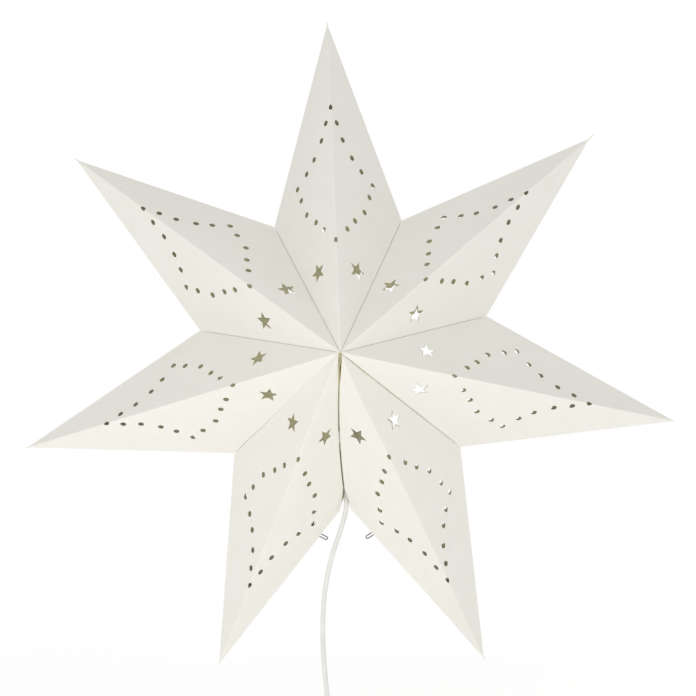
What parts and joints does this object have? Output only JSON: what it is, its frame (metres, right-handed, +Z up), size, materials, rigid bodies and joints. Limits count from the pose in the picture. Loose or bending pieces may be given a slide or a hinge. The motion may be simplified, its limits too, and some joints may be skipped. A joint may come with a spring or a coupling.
{
  "type": "paper star pendant",
  "caption": "Hanging star folded from punched white card, with dots and star cut-outs, a small lamp held on wire clips inside, and a white cord with an inline switch and a flat plug.",
  "frame": {"origin": "the tip of the top point, where the star hangs", "axes": "+Z up, +X to the right in the picture, +Y to the back; the front cone points to -Y"},
  "size_m": [0.6807, 0.2917, 0.745],
  "materials": {
    "paper": "matt, off-white card with a fine fibre",
    "hook_tape": "white hook tape",
    "loop_tape": "white loop tape",
    "holder_plastic": "white, slightly glossy",
    "grip_plastic": "white",
    "contact_ceramic": "unglazed white",
    "nickel": "nickel plated, satin",
    "steel": "zinc plated",
    "brass": "bare brass",
    "conductor_sheath": "insulated wire",
    "bulb_glass": "clear",
    "black_glass": "black, glossy",
    "solder": "dull solder",
    "filament": "yellow phosphor coat, unlit",
    "clip_steel": "plated steel",
    "spring_wire": "dark drawn wire",
    "cord_sheath": "light grey-white sheath, satin",
    "tie_plastic": "soft band",
    "switch_plastic": "white, fine grain",
    "rocker_plastic": "white, satin",
    "plug_plastic": "white, satin",
    "pin_metal": "nickel plated"
  },
  "bodies": {
    "star": {"point_top": "paper", "point_upper_right": "paper", "point_right": "paper", "point_lower_right": "paper", "point_lower_left": "paper", "point_left": "paper", "point_upper_left": "paper", "seam_hook_pads": "hook_tape", "seam_loop_pads": "loop_tape", "holder_shell": "holder_plastic", "holder_cap": "holder_plastic", "cord_grip": "grip_plastic", "contact_block": "contact_ceramic", "screw_sleeve": "nickel", "terminal_screws": "steel", "centre_contact": "brass", "side_contact": "brass", "conductors": "conductor_sheath", "clip_collar": "clip_steel", "cord_lead": "cord_sheath", "cord_link": "cord_sheath", "cord_tail": "cord_sheath", "cord_coil": "cord_sheath", "cord_tie": "tie_plastic", "switch_base": "switch_plastic", "switch_cover": "switch_plastic", "switch_blade": "brass", "switch_screws": "steel", "plug_body": "plug_plastic", "plug_pins": "pin_metal"},
    "bulb_carrier": {"bulb_contact": "solder"},
    "bulb": {"bulb_glass": "bulb_glass", "bulb_cap": "nickel", "bulb_insulator": "black_glass", "bulb_stem": "bulb_glass", "bulb_filaments": "filament"},
    "leg_right": {"clip_leg_right": "spring_wire"},
    "leg_left": {"clip_leg_left": "spring_wire"},
    "rocker": {"switch_rocker": "rocker_plastic"}
  },
  "joints": [
    {"name": "bulb_rise", "type": "slide", "parent": "star", "child": "bulb_carrier", "axis": [0.0419, 0, 0.9991], "range_m": [0, 0.0099]},
    {"name": "bulb_turn", "type": "hinge", "parent": "bulb_carrier", "child": "bulb", "pos_m": [0, 0, -0.35], "axis": [0.0419, 0, 0.9991], "range_deg": [0, 1260]},
    {"name": "clip_right_turn", "type": "hinge", "parent": "star", "child": "leg_right", "pos_m": [-0.00429, -0.0181, -0.45241], "axis": [0, -1, 0], "range_deg": [0, 9], "stiffness_Nm_per_rad": 0.05, "springref_deg": -17.19},
    {"name": "clip_left_turn", "type": "hinge", "parent": "star", "child": "leg_left", "pos_m": [-0.00429, 0.0181, -0.45241], "axis": [0, 1, 0], "range_deg": [0, 9], "stiffness_Nm_per_rad": 0.05, "springref_deg": -17.19},
    {"name": "rocker_tilt", "type": "hinge", "parent": "star", "child": "rocker", "pos_m": [0.053, -0.142, -0.7309], "axis": [0, 1, 0], "range_deg": [0, 16]}
  ],
  "couplings": [
    {"joint": "bulb_rise", "follows": "bulb_turn", "m_per_rad": 0.0004488}
  ]
}
